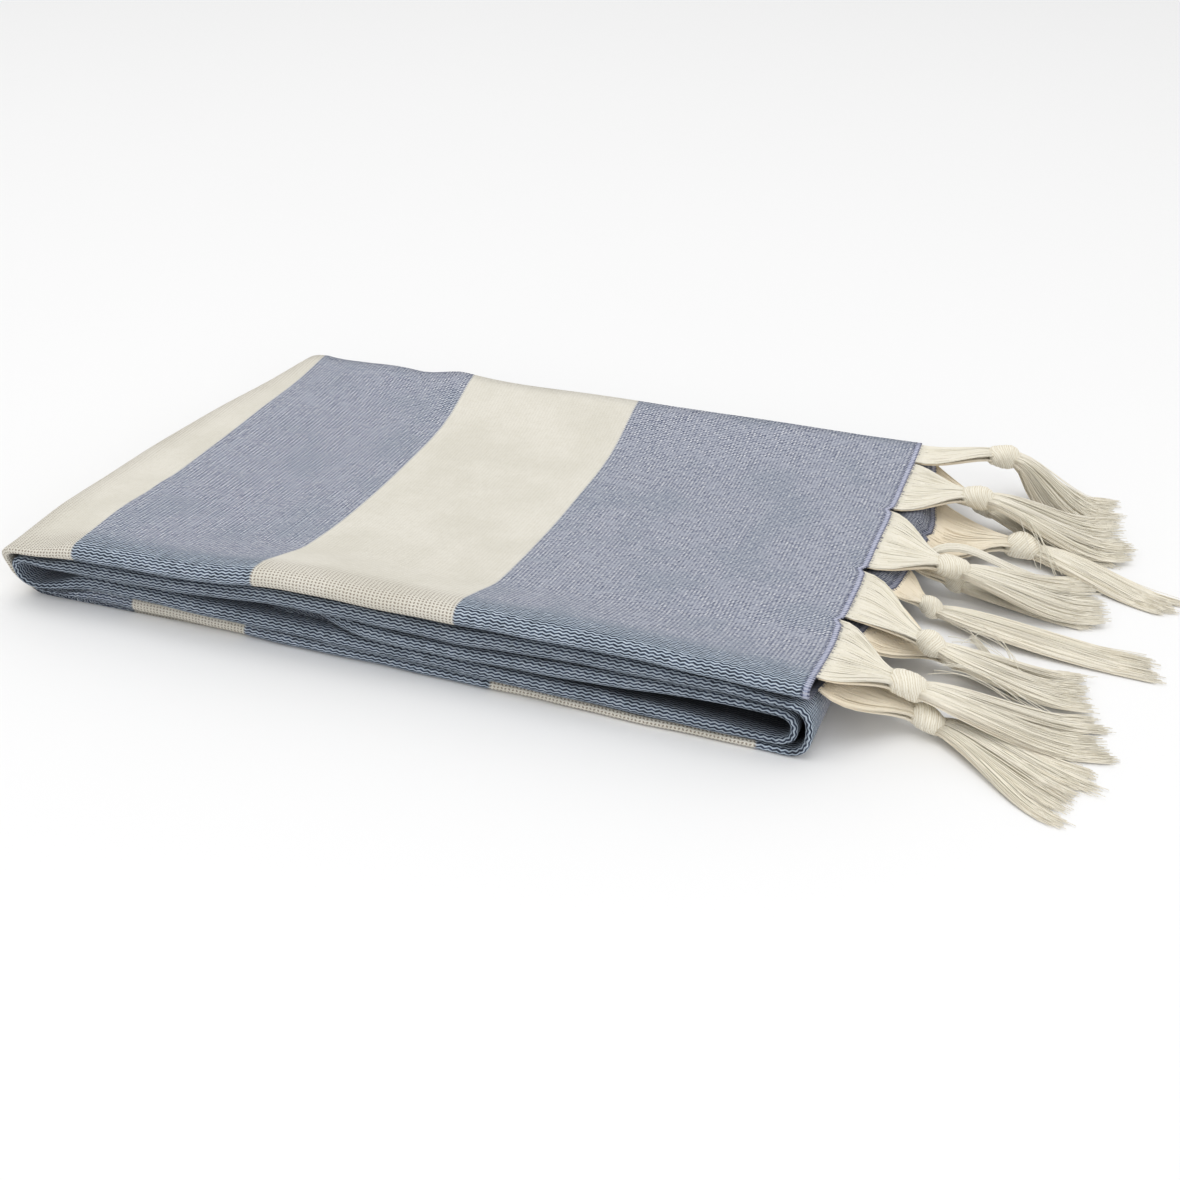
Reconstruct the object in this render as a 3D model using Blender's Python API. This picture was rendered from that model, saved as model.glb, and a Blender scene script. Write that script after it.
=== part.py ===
"""A hammam towel, folded into a flat pack, with the knotted fringe at its outer end.

The cloth is doubled to a quarter of its width, so that its folded edge is at the front. It is then turned
over along its length in a flat spiral of five layers. Metres, +Z up: X runs to the fringe, Y from the front
to the back, and the underside of the pack rests at Z = 0 with the origin at its middle.
"""

import math

import bpy
import numpy as np

MM = 0.001

# The pack, in millimetres from its front left corner
PACK_LENGTH = 385.0  # left folds to the fringed end
PACK_DEPTH = 256.0  # folded front edge to the open back
LEFT_SKEW = 30.0  # the left folds lie this much further right at the back, on a curve
LEFT_SKEW_FADES = 180.0  # which has faded out this far from the left
RIGHT_SKEW = 5.0  # the right folds lie this much further right at the back
RIGHT_SKEW_GROWS = (300.0, 380.0)
MOST_SKEW = 1.1  # share of either skew that a fold's nose may have
OVERHANG_COLUMNS = ("y", "past")  # how far the lower ply's end lies past the upper ply's
OVERHANG = ((0.0, 0.0), (110.0, 13.0), (190.0, 20.0), (256.0, 8.0))
OVERHANG_GROWS = 300.0  # from here to the end
LOWER_DROOP = 0.45  # how far that end hangs for each millimetre of it
INNER_END = 130.0  # where the hidden end of the cloth lies
INNER_RISE = (80.0, 115.0)  # over this stretch the layers above come to lie on that end

# The cloth
SHEET = 1.2  # one doubled ply
LAYER_GAP = 0.6  # least air between two layers
FLAT_PITCH = 4.0  # height a layer takes up in the sagging middle
BACK_PITCH = 6.2  # and at the open back edge
FOLD_THICKNESS = 3.2  # a layer pressed together where it turns over
FOLD_EASE = 30.0  # length over which a layer opens again beside such a fold
FRONT_CREST = 9.0  # the front edge is puffed up to here, and falls away over FRONT_FALL
FRONT_FALL = 55.0
FRONT_SHAPE = 1.3  # exponent of the front's fall, and of the back's
BACK_FALL = 30.0
BACK_SHAPE = 1.5

# Height of each layer along the front edge, and of the hollow that the folds' spring holds open above the
# second layer, at sections from the left end to the right.
SECTION_COLUMNS = ("x", "base", "second", "middle", "fourth", "top",
                   "hollow_front", "hollow_centre", "hollow_back")
SECTIONS = (
    (0.0, 4.4, 4.4, 0.0, 4.6, 5.6, 14.0, 16.0, 13.0),
    (34.0, 9.2, 9.2, 0.0, 8.8, 9.4, 1.0, 17.0, 8.2),
    (62.0, 9.6, 9.6, 0.0, 8.6, 9.6, 0.5, 12.0, 8.5),
    (106.0, 8.6, 8.8, 3.0, 8.8, 9.6, 0.3, 3.5, 5.4),
    (130.0, 8.0, 8.6, 6.4, 9.0, 9.6, 0.0, 0.3, 3.4),
    (228.0, 5.8, 8.8, 7.2, 9.2, 9.8, 0.0, 0.0, 3.0),
    (312.0, 4.2, 8.0, 7.5, 7.8, 8.4, 4.0, 3.6, 1.6),
    (345.0, 4.0, 6.2, 5.6, 6.6, 7.8, 8.0, 7.0, 1.2),
    (385.0, 4.0, 4.4, 4.4, 5.0, 6.6, 10.5, 8.5, 1.5),
)

# The layers in the order of the cloth's run from its fringed end: the way each one heads along X, how far its
# front edge lies behind the pack's at the left and at the right, and where its two plies end at the back.
LAYER_COLUMNS = ("name", "heading", "front_left", "front_right", "outer_back", "inner_back")
LAYERS = (
    ("top", -1, 0.0, 0.0, 256.0, 252.0),
    ("base", 1, 13.0, 2.0, 255.0, 257.0),
    ("fourth", -1, 2.5, 0.5, 253.0, 250.0),
    ("second", 1, 7.0, 1.5, 256.0, 253.0),
    ("middle", -1, 4.0, 1.0, 252.0, 255.0),
)
STACK = ("base", "second", "middle", "fourth", "top")  # from the floor up
HOLLOW_ABOVE = "second"

# The folds between them, in the same order: the side it lies on, how far it reaches past the flat run, and
# how much its nose leans to the upper layer.
FOLD_COLUMNS = ("side", "reach", "lean")
FOLDS = (
    (-1, 14.0, 0.25),
    (1, 10.0, 0.0),
    (-1, 9.6, 0.1),
    (1, 9.6, 0.0),
)
FOLD_ANGLES = tuple(math.radians(a) for a in (30, 60, 90, 120, 150))
FOLD_SQUARE = 0.8  # under 1 makes a fold's round a little boxy

# Where the sheet has its points: along a layer, from its front to its back, and round the front fold
LEFT_RUN = 9.0
RUN = (LEFT_RUN, 22.0, 42.0, 70.0, 100.0, 130.0, 175.0, 225.0, 275.0, 304.0, 326.0, 348.0)
RIGHT_RUN = 376.0
DEPTH_ROWS = (20.0, 40.0, 66.0, 100.0, 150.0, 200.0, 232.0)
NOSE_ANGLES = tuple(math.radians(a) for a in (90, 45, 0, -45, -90))
NOSE_ROUND = 0.6  # reach of the front fold for each millimetre between its plies
NOSE_DEPTH = 4.0  # how far behind its front edge a layer's thickness sets that reach

# The fringe: a narrow strip beside the cloth's end, locks that run into a knot, and locks that leave it
PART_GAP = {"upper": 0.3, "lower": 0.7}  # from the cloth's end, which hangs aslant at the lower ply
STRIP_WIDTH = 1.8
STRIP_SINK = 0.9  # how deep a lock's root goes into the strip
FAN_LOCKS = 7
TAIL_LOCKS = 8
LOCK_FILL = 0.75  # a lock's width as a share of its pitch
FAN_STEPS = (0.0, 0.35, 0.7, 1.0)
TAIL_STEPS = (0.0, 0.18, 0.4, 0.65, 1.0)
ROOT_DROOP = {"upper": 0.1, "lower": 0.7}  # how steeply the locks leave the strip
FAN_THICKNESS = (0.9, 2.6)  # at the strip, and in the knot
TAIL_THICKNESS = (2.8, 1.1)  # in the knot, and at the cut end
KNOT_GRIP = 8.2  # width of the row of locks inside a knot
KNOT_HALF = 7.0
KNOT_DEPTH = 3.0  # how deep the locks go into it
KNOT_RADII = (3.6, 5.4, 4.9, 5.9, 5.0, 5.5, 3.6)  # the turns of yarn round a knot are its ridges
KNOT_SIDES = 8
FAN_PULL = 0.8  # how far the fan's curve follows the knot's axis, as a share of its length
TAIL_PULL = 0.7  # and the tail's
TAIL_LEVEL = 0.92  # the share of a tail after which it lies level
TAIL_FLARE = 0.8  # how much the outer locks turn aside where they leave the knot
TAIL_TURN = 0.5  # how much the knot's axis turns towards its tail
CUT_SHORTEST = 4.9  # how far the shortest lock stays behind the tail's stated end
CUT_UNEVEN = 7.0  # how much the cut ends of one tail differ in length
GOLDEN = 0.618  # steps of this share of a whole never repeat
LOCK_STRIDE = 7

# The tassels of each ply from back to front: where their roots lie along the cloth's end, the middle of the
# knot, the end of the tail, the height that its underside rests at, how wide it spreads, and the knot's size.
TASSEL_COLUMNS = ("ply", "root_back", "root_front", "knot_x", "knot_y", "knot_z",
                  "tail_x", "tail_y", "rest", "spread", "size")
TASSELS = (
    ("upper", 254.0, 236.0, 427.0, 264.0, 27.0, 488.0, 278.0, 0.0, 23.0, 1.0),
    ("upper", 234.0, 184.0, 421.0, 214.0, 26.0, 492.0, 240.0, 2.2, 48.0, 1.1),
    ("upper", 181.0, 122.0, 420.0, 149.0, 20.0, 487.0, 171.0, 2.2, 36.0, 1.1),
    ("upper", 118.0, 72.0, 422.0, 79.0, 19.0, 490.0, 88.0, 2.2, 26.0, 0.95),
    ("upper", 69.0, 8.0, 419.0, 38.0, 22.0, 499.0, 57.0, 0.0, 28.0, 1.15),
    ("lower", 252.0, 226.0, 424.0, 232.0, 12.0, 487.0, 209.0, 0.0, 15.0, 0.85),
    ("lower", 222.0, 170.0, 447.0, 204.0, 7.0, 520.0, 180.0, 0.0, 18.0, 1.1),
    ("lower", 166.0, 148.0, 420.0, 160.0, 6.0, 484.0, 150.0, 0.0, 11.0, 0.8),
    ("lower", 144.0, 118.0, 414.0, 130.0, 8.0, 516.0, 120.0, 0.0, 20.0, 0.85),
    ("lower", 114.0, 64.0, 430.0, 90.0, 6.0, 480.0, 86.0, 0.0, 14.0, 0.8),
    ("lower", 58.0, 9.0, 429.0, 37.0, 7.5, 494.0, 12.0, 0.0, 44.0, 1.05),
)

# Base colour and roughness
CLOTH = ((0.20, 0.25, 0.38, 1.0), 0.9)
YARN = ((0.80, 0.73, 0.58, 1.0), 0.85)
SHARP_ANGLE = 50.0


def table(columns, rows):
    """The rows of a table as dictionaries."""
    return [dict(zip(columns, row)) for row in rows]


LAYER = {row["name"]: row for row in table(LAYER_COLUMNS, LAYERS)}


def along(column, x):
    """A column of the sections at x, on a cubic curve through the sections' values."""
    place = np.array([row["x"] for row in table(SECTION_COLUMNS, SECTIONS)])
    value = np.array([row[column] for row in table(SECTION_COLUMNS, SECTIONS)])
    slope = np.gradient(value, place)
    i = np.clip(np.searchsorted(place, x, side="right") - 1, 0, len(place) - 2)
    span = place[i + 1] - place[i]
    t = np.clip((x - place[i]) / span, 0.0, 1.0)
    rise = value[i] * (1 + 2 * t) * (1 - t) ** 2 + value[i + 1] * t**2 * (3 - 2 * t)
    tilt = span * (slope[i] * t * (1 - t) ** 2 - slope[i + 1] * t**2 * (1 - t))
    return np.maximum(rise + tilt, 0.0)


def ease(t):
    """0 to 1 with level ends."""
    t = np.clip(t, 0.0, 1.0)
    return t * t * (3 - 2 * t)


def grows(x, start, end):
    """0 up to start, 1 from end on, and eased between them."""
    return ease((x - start) / (end - start))


def layer_heights(name, x, y):
    """Underside height and thickness of a layer at plan points. The front and back edges are puffed, and the
    middle sags on the layers below, except where the end folds hold it up."""
    front = np.exp(-((np.maximum(y - FRONT_CREST, 0.0) / FRONT_FALL) ** FRONT_SHAPE))
    back = np.exp(-((np.maximum(PACK_DEPTH - y, 0.0) / BACK_FALL) ** BACK_SHAPE))
    centre = 1.0 - front - back
    underside = np.zeros(np.broadcast(x, y).shape)
    for level in STACK:
        there = grows(x, *INNER_RISE) if level == "middle" else 1.0
        pitch = front * along(level, x) + there * (centre * FLAT_PITCH + back * BACK_PITCH)
        if level == name:
            break
        underside = underside + pitch
        if level == HOLLOW_ABOVE:
            underside = underside + front * along("hollow_front", x)
            underside = underside + centre * along("hollow_centre", x) + back * along("hollow_back", x)
    to_fold = np.minimum(x - LEFT_RUN, np.inf if name == "top" else RIGHT_RUN - x)
    if name == "middle":
        to_fold = RIGHT_RUN - x
    opened = ease(to_fold / FOLD_EASE)
    return underside, FOLD_THICKNESS + opened * (pitch - LAYER_GAP - FOLD_THICKNESS)


def plan_x(x, y, skewed):
    """x moved with the slant of the left folds and, on a layer that turns over there, of the right folds."""
    back = np.clip(y / PACK_DEPTH, 0.0, 1.0)
    start, end = RIGHT_SKEW_GROWS
    left = LEFT_SKEW * np.clip(1.0 - x / LEFT_SKEW_FADES, 0.0, MOST_SKEW) * back**2
    right = RIGHT_SKEW * np.clip((x - start) / (end - start), 0.0, MOST_SKEW) * back
    return x + left + right * skewed


def layer_section(name, x):
    """The doubled sheet's middle line across a layer at station x, from the outer ply's back edge round the
    front fold to the inner ply's. Returns points (n, 3) and the offset of each from the layer's middle."""
    row = LAYER[name]
    front = row["front_left"] + (row["front_right"] - row["front_left"]) * x / PACK_LENGTH
    outer_y = np.array([row["outer_back"], *DEPTH_ROWS[::-1]])
    inner_y = np.array([*DEPTH_ROWS, row["inner_back"]])
    _, thickness = layer_heights(name, x, np.array([front + NOSE_DEPTH]))
    reach = NOSE_ROUND * (thickness[0] - SHEET)
    angles = np.array(NOSE_ANGLES)
    y = np.concatenate([outer_y, front + reach * (1 - np.cos(angles)), inner_y])
    side = np.concatenate([np.ones_like(outer_y), np.sin(angles), -np.ones_like(inner_y)])
    flat_y = np.concatenate([outer_y, np.full_like(angles, front + reach), inner_y])
    underside, thickness = layer_heights(name, x, flat_y)
    offset = side * (thickness - SHEET) / 2
    z = underside + thickness / 2 - row["heading"] * offset
    place = plan_x(np.full_like(y, x), y, name != "top")
    if name == "top":
        past = (1.0 - side) / 2 * np.interp(y, *zip(*OVERHANG))
        place = place + past * grows(x, OVERHANG_GROWS, PACK_LENGTH)
        z = z - LOWER_DROOP * past * grows(x, RIGHT_RUN, PACK_LENGTH)
    return np.stack([place, y, z], axis=1), offset


def fold_sections(fold, start, end):
    """Sections round an end fold, from the last section of one layer to the first of the next. Each point
    goes round a half oval between its two plies' heights."""
    (first, offset), (last, _) = start, end
    turn = np.array(FOLD_ANGLES)[:, None]
    mean, half = (first[:, 2] + last[:, 2]) / 2, (first[:, 2] - last[:, 2]) / 2
    share = ease(turn / math.pi)
    cosine = np.sign(np.cos(turn)) * np.abs(np.cos(turn)) ** FOLD_SQUARE
    lean = 1 + fold["lean"] * np.cos(turn) * np.sign(half)
    out = (fold["reach"] + offset) * np.sin(turn) ** FOLD_SQUARE * lean
    x = first[:, 0] * (1 - share) + last[:, 0] * share + fold["side"] * out
    y = first[:, 1] * (1 - share) + last[:, 1] * share
    return list(np.stack([x, y, mean + half * cosine], axis=2))


def run_stations(name):
    """The stations of a layer in the order in which the cloth runs along it."""
    stations = [x for x in RUN if name != "middle" or x >= INNER_END]
    if name in ("top", "base", "fourth"):
        stations.append(RIGHT_RUN)
    if name == "top":
        stations.append(PACK_LENGTH)
    return stations if LAYER[name]["heading"] > 0 else stations[::-1]


def cloth_sections():
    """All sections of the sheet, from its fringed end to its hidden end."""
    runs = [[layer_section(name, x) for x in run_stations(name)] for name in LAYER]
    sections = [points for points, _ in runs[0]]
    for fold, before, after in zip(table(FOLD_COLUMNS, FOLDS), runs, runs[1:]):
        sections += fold_sections(fold, before[-1], after[0])
        sections += [points for points, _ in after]
    return np.array(sections)


def pack_frame(points):
    """Millimetres from the pack's corner to metres from the middle of its underside."""
    return (points - np.array([PACK_LENGTH / 2, PACK_DEPTH / 2, 0.0])) * MM


def new_object(name, points, faces, surface):
    mesh = bpy.data.meshes.new(name)
    mesh.from_pydata(pack_frame(np.asarray(points)).tolist(), [], faces)
    mesh.update()
    mesh.shade_smooth()
    mesh.set_sharp_from_angle(angle=math.radians(SHARP_ANGLE))
    material = bpy.data.materials.new(name)
    material.use_nodes = True
    colour, roughness = surface
    shader = material.node_tree.nodes["Principled BSDF"]
    shader.inputs["Base Color"].default_value = colour
    shader.inputs["Roughness"].default_value = roughness
    shader.inputs["Metallic"].default_value = 0.0
    mesh.materials.append(material)
    made = bpy.data.objects.new(name, mesh)
    bpy.context.scene.collection.objects.link(made)
    return made


def make_cloth():
    """The folded sheet: triangles between neighbouring sections, given the ply's thickness. All plies are
    cut along the same diagonals in plan, so that they stay as far apart between their points as at them."""
    sections = cloth_sections()
    count, width, _ = sections.shape
    faces = []
    for i in range(count - 1):
        for j in range(width - 1):
            a, b = i * width + j, i * width + j + 1
            c, d = b + width, a + width
            rightwards = sections[i + 1, j, 0] > sections[i, j, 0]
            faces += [(a, b, c), (a, c, d)] if (j < width // 2) == rightwards else [(a, b, d), (b, c, d)]
    cloth = new_object("towel_cloth", sections.reshape(-1, 3), faces, CLOTH)
    solid = cloth.modifiers.new("Ply thickness", "SOLIDIFY")
    solid.thickness = SHEET * MM
    solid.offset = 0.0
    solid.use_even_offset = True
    return cloth


def loft(rings):
    """A closed tube through rings of equal count: its points, and faces that point outwards."""
    rings = np.array(rings)
    count, sides, _ = rings.shape
    faces = [tuple(range(sides)), tuple(range((count - 1) * sides, count * sides))[::-1]]
    for i in range(count - 1):
        for j in range(sides):
            a, b = i * sides + j, i * sides + (j + 1) % sides
            faces.append((a, a + sides, b + sides, b))
    return rings.reshape(-1, 3), faces


def join(pieces):
    """Several lofts as one list of points and faces."""
    points, faces, start = [], [], 0
    for piece_points, piece_faces in pieces:
        points.append(piece_points)
        faces += [tuple(start + i for i in face) for face in piece_faces]
        start += len(piece_points)
    return np.concatenate(points), faces


def ribbon(path, widths, thicknesses, leave=None):
    """A four-sided lock along a path, its width level and its thickness across the path's slope. Its first
    end is cut square to the direction in which it leaves."""
    path = np.asarray(path)
    heading = np.gradient(path, axis=0)
    if leave is not None:
        heading[0] = leave
    heading /= np.linalg.norm(heading, axis=1, keepdims=True)
    across = np.cross(heading, (0.0, 0.0, 1.0))
    across /= np.linalg.norm(across, axis=1, keepdims=True)
    up = np.cross(across, heading)
    w, t = np.asarray(widths)[:, None] / 2, np.asarray(thicknesses)[:, None] / 2
    corners = (across * w - up * t, across * w + up * t, -across * w + up * t, -across * w - up * t)
    return loft(np.stack([path + corner for corner in corners], axis=1))


def strip(ply):
    """The narrow strip beside the cloth's end that the roots of one ply's fringe are fused into."""
    end, _ = layer_section("top", PACK_LENGTH)
    half = len(end) // 2
    edge = end[:half] if ply == "upper" else end[half + 1 :][::-1]
    middle = edge + (PART_GAP[ply] + STRIP_WIDTH / 2, 0.0, 0.0)
    return ribbon(middle, np.full(len(middle), STRIP_WIDTH), np.full(len(middle), SHEET)), middle


def hermite(start, end, start_pull, end_pull, t):
    """A cubic curve between two points that leaves and arrives along the two pulls."""
    t = np.asarray(t)[:, None]
    return (start * (1 + 2 * t) * (1 - t) ** 2 + end * t**2 * (3 - 2 * t)
            + start_pull * t * (1 - t) ** 2 - end_pull * t**2 * (1 - t))


def side_by_side(paths, thicknesses, leave):
    """Locks along neighbouring paths, each as wide as the room beside it lets it be."""
    paths = np.array(paths)
    heading = np.gradient(paths, axis=1)[..., :2]
    heading /= np.linalg.norm(heading, axis=2, keepdims=True)
    apart = np.diff(paths[..., :2], axis=0)
    room = np.abs(apart[..., 0] * heading[1:, :, 1] - apart[..., 1] * heading[1:, :, 0])
    before, after = np.vstack([room[:1], room]), np.vstack([room, room[-1:]])
    widths = LOCK_FILL * np.minimum(before, after)
    return [ribbon(path, width, thicknesses, leave) for path, width in zip(paths, widths)]


def fan_locks(tassel, edge, knot, heading, across):
    """The locks between the strip and the knot."""
    order = np.argsort(edge[:, 1])
    pitch = (tassel["root_back"] - tassel["root_front"]) / FAN_LOCKS
    grip = KNOT_GRIP * tassel["size"] / FAN_LOCKS
    t = np.array(FAN_STEPS)
    leave = np.array([1.0, 0.0, -ROOT_DROOP[tassel["ply"]]])
    paths = []
    for i in range(FAN_LOCKS):
        y = tassel["root_front"] + (i + 0.5) * pitch
        x, z = (np.interp(y, edge[order, 1], edge[order, k]) for k in (0, 2))
        root = np.array([x + STRIP_WIDTH / 2 - STRIP_SINK, y, z])
        into = -(KNOT_HALF * tassel["size"] - KNOT_DEPTH) * heading
        end = knot + into - across * (i + 0.5 - FAN_LOCKS / 2) * grip
        reach = np.linalg.norm(end - root)
        paths.append(hermite(root, end, leave * reach, heading * reach * FAN_PULL, t))
    return side_by_side(paths, FAN_THICKNESS[0] + (FAN_THICKNESS[1] - FAN_THICKNESS[0]) * t**2, leave)


def tail_locks(tassel, knot, heading, across):
    """The locks from the knot to the cut ends. They sink to what they rest on, and then lie level."""
    grip = KNOT_GRIP * tassel["size"] / TAIL_LOCKS
    pitch = tassel["spread"] / TAIL_LOCKS
    rest = tassel["rest"] + TAIL_THICKNESS[1] / 2
    end_middle = np.array([tassel["tail_x"], tassel["tail_y"], rest])
    along_tail = end_middle - knot
    along_tail[2] = 0.0
    along_tail /= np.linalg.norm(along_tail)
    end_across = np.cross(along_tail, (0.0, 0.0, 1.0))
    t = np.array(TAIL_STEPS)
    paths = []
    for i in range(TAIL_LOCKS):
        rank = i + 0.5 - TAIL_LOCKS / 2
        leave = heading - across * rank / TAIL_LOCKS * TAIL_FLARE
        start = knot + (KNOT_HALF * tassel["size"] - KNOT_DEPTH) * heading - across * rank * grip
        cut = CUT_UNEVEN * (GOLDEN * (LOCK_STRIDE * i + tassel["knot_y"]) % 1.0) - CUT_SHORTEST
        end = end_middle - end_across * rank * pitch + along_tail * cut
        reach = np.linalg.norm(end - start)
        path = hermite(start, end, leave * reach * TAIL_PULL, along_tail * reach * TAIL_PULL, t)
        path[:, 2] = start[2] + (rest - start[2]) * ease(t / TAIL_LEVEL)
        paths.append(path)
    thin = ease(t / TAIL_LEVEL)
    return side_by_side(paths, TAIL_THICKNESS[0] + (TAIL_THICKNESS[1] - TAIL_THICKNESS[0]) * thin, heading)


def knot_body(tassel, knot, heading, across):
    """A ridged knot: rings round its axis, each a turn of yarn."""
    up = np.cross(across, heading)
    angle = np.arange(KNOT_SIDES) * 2 * math.pi / KNOT_SIDES
    round_it = np.cos(angle)[:, None] * across + np.sin(angle)[:, None] * up
    steps = np.linspace(-KNOT_HALF, KNOT_HALF, len(KNOT_RADII))
    size = tassel["size"]
    rings = [knot + size * (heading * step + round_it * radius) for step, radius in zip(steps, KNOT_RADII)]
    return loft(rings)


def make_fringe(ply):
    """One ply's fringe: its strip and knots, joined with all their locks."""
    strip_loft, edge = strip(ply)
    bodies, locks = [strip_loft], []
    for tassel in table(TASSEL_COLUMNS, TASSELS):
        if tassel["ply"] != ply:
            continue
        knot = np.array([tassel["knot_x"], tassel["knot_y"], tassel["knot_z"]])
        root_y = (tassel["root_back"] + tassel["root_front"]) / 2
        nearest = edge[np.argmin(np.abs(edge[:, 1] - root_y))]
        come = knot - (nearest[0], root_y, nearest[2])
        go = np.array([tassel["tail_x"], tassel["tail_y"], tassel["rest"]]) - knot
        heading = come / np.linalg.norm(come) + go / np.linalg.norm(go) * TAIL_TURN
        heading /= np.linalg.norm(heading)
        across = np.cross(heading, (0.0, 0.0, 1.0))
        across /= np.linalg.norm(across)
        bodies.append(knot_body(tassel, knot, heading, across))
        locks += fan_locks(tassel, edge, knot, heading, across) + tail_locks(tassel, knot, heading, across)
    fringe = new_object("fringe_" + ply, *join(bodies), YARN)
    lock_mesh = new_object("locks_" + ply, *join(locks), YARN)
    lock_mesh.hide_render = True
    lock_mesh.display_type = "WIRE"
    union = fringe.modifiers.new("Locks", "BOOLEAN")
    union.operation = "UNION"
    union.object = lock_mesh
    return fringe


def main():
    for old in list(bpy.data.objects):
        bpy.data.objects.remove(old, do_unlink=True)
    make_cloth()
    make_fringe("upper")
    make_fringe("lower")


main()
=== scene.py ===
# %% [markdown]
# # A folded hammam towel
#
# The towel is one flat sheet of cotton, 1.0 m by 1.8 m. It is doubled twice across its width, then turned over
# along its length in a flat spiral, and its outer end carries a knotted fringe. The lesson builds the sheet the
# same way: one long path for the sheet's middle line across a layer, carried along a second path through all
# five layers. A cloth simulation could fold it too, but it would not land on the shape in the photograph.

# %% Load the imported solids
import math
from collections import namedtuple
from functools import partialmethod

import bpy
import numpy as np
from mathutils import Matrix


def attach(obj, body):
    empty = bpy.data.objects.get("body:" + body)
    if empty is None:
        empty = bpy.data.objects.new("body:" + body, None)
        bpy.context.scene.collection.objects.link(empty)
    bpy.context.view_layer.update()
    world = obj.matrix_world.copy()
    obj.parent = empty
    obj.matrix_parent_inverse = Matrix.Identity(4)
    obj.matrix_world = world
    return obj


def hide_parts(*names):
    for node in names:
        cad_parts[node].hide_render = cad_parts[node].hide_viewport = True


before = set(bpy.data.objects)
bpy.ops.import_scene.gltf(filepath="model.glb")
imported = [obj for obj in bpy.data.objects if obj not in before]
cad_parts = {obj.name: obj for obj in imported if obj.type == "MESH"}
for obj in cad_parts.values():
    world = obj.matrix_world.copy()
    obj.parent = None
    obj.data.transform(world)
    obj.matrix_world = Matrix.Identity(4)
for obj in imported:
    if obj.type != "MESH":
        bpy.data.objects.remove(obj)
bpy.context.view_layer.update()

# %% [markdown]
# ## Camera and light
#
# The camera stands where the photograph was taken: about 0.4 m up, in front of the right half of the towel.
# One broad light above and a weak one in front give the soft shade of a studio table.

# %% Camera
MM = 0.001
TURN = 2 * math.pi
CAMERA_AT = (0.3035, -0.703, 0.418)
CAMERA_DOWN = math.radians(30.1)
CAMERA_TURN = math.radians(19.6)
FOCAL_SHARE = 1718 / 1180  # focal length as a share of the frame's width
SENSOR = 36


def added(name, data):
    """A new object that holds the data, added to the scene."""
    made = bpy.data.objects.new(name, data)
    bpy.context.scene.collection.objects.link(made)
    return made


camera = added("Camera", bpy.data.cameras.new("Camera"))
camera.data.sensor_width = SENSOR
camera.data.lens = SENSOR * FOCAL_SHARE
camera.data.clip_start = 0.01
camera.location = CAMERA_AT
camera.rotation_euler = (math.pi / 2 - CAMERA_DOWN, 0.0, CAMERA_TURN)
bpy.context.scene.camera = camera
print("lens", round(camera.data.lens, 2), "mm")

# %% Light
LIGHTS = (  # name, place, target, size, watts
    ("Top light", (-0.3, -0.5, 3.2), (0, 0, 0), 2.8, 43),
    ("Front light", (1.5, -1.5, 1.1), (0.1, 0, 0), 1.4, 8),
)
WORLD_STRENGTH = 0.74


def aimed(place, target):
    """The turn that points a light's -Z axis from place to target."""
    away = np.array(place) - np.array(target)
    return (math.atan2(math.hypot(away[0], away[1]), away[2]), 0.0, math.atan2(away[0], -away[1]))


for name, place, target, size, watts in LIGHTS:
    lamp = added(name, bpy.data.lights.new(name, "AREA"))
    lamp.data.size, lamp.data.energy = size, watts
    lamp.location, lamp.rotation_euler = place, aimed(place, target)

world = bpy.data.worlds.new("Studio")
world.use_nodes = True
background = world.node_tree.nodes["Background"].inputs
background["Color"].default_value = (1.0, 1.0, 1.0, 1.0)
background["Strength"].default_value = WORLD_STRENGTH
bpy.context.scene.world = world
bpy.context.scene.view_settings.view_transform = "Standard"
print("lights:", len(LIGHTS))

# %% [markdown]
# ## The pack's measures
#
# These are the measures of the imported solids, in millimetres from the pack's front left corner. The layers are
# thicker at the front fold, where four thicknesses of cloth turn round together, and sag between. The end folds
# spring open, which leaves a hollow at each end.

# %% Measures
PACK_LENGTH = 385
PACK_DEPTH = 256
LEFT_SKEW = 30
LEFT_SKEW_FADES = 180
RIGHT_SKEW = 5
RIGHT_SKEW_GROWS = (300, 380)
MOST_SKEW = 1.1
OVERHANG = ((0, 0), (110, 13), (190, 20), (256, 8))
OVERHANG_GROWS = 300
LOWER_DROOP = 0.45
INNER_END = 130
INNER_RISE = (80, 115)
PLY = 1.2
LAYER_GAP = 0.6
FLAT_PITCH = 4
BACK_PITCH = 6.2
FOLD_THICKNESS = 3.2
FOLD_EASE = 30
FRONT_CREST = 9
FRONT_FALL = 55
FRONT_SHAPE = 1.3
BACK_FALL = 30
BACK_SHAPE = 1.5
LEFT_RUN = 9
RIGHT_RUN = 376
FOLD_SQUARE = 0.8
NOSE_ROUND = 0.6
NOSE_DEPTH = 4
STACK_HEIGHT = 42
MIDDLE_DRAWN_BACK = 20  # the middle layer's front at its hidden end
MIDDLE_CATCHES_UP = 55

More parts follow.
